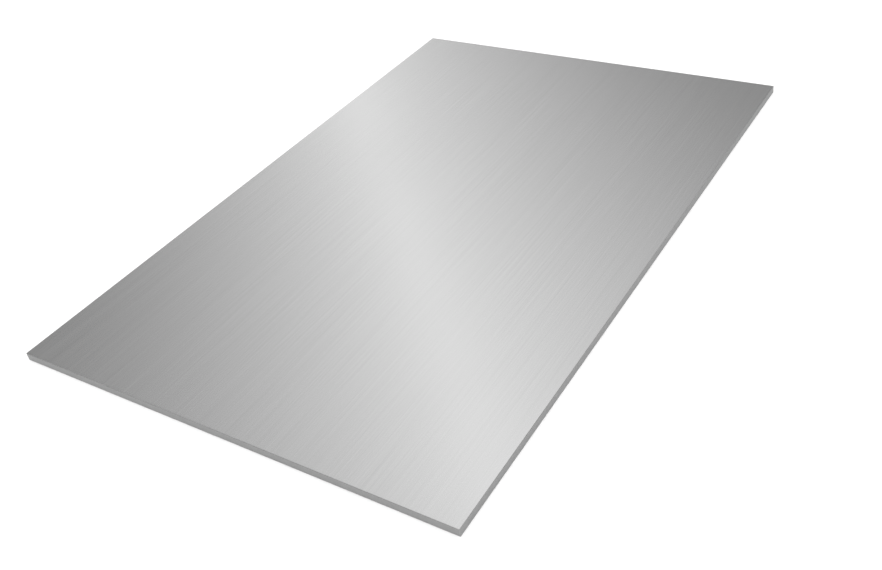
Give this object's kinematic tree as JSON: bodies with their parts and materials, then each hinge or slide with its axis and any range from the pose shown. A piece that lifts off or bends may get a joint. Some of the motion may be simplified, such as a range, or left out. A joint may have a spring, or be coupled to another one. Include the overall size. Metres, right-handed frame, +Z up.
{
  "type": "stainless steel sheet",
  "caption": "Flat rectangular stainless steel sheet with a satin finish and square, deburred cut edges; raw stock to cut, bend, weld or fix as a panel.",
  "frame": {"origin": "centre of the underside, the face that the sheet lies on", "axes": "+X along the length, +Y along the width, +Z up through the thickness"},
  "size_m": [0.45, 0.3, 0.005],
  "materials": {
    "stainless_steel": "satin, with a fine grain along the length; cut edges duller and a little darker"
  },
  "bodies": {
    "root": {"steel_sheet": "stainless_steel"}
  },
  "joints": []
}
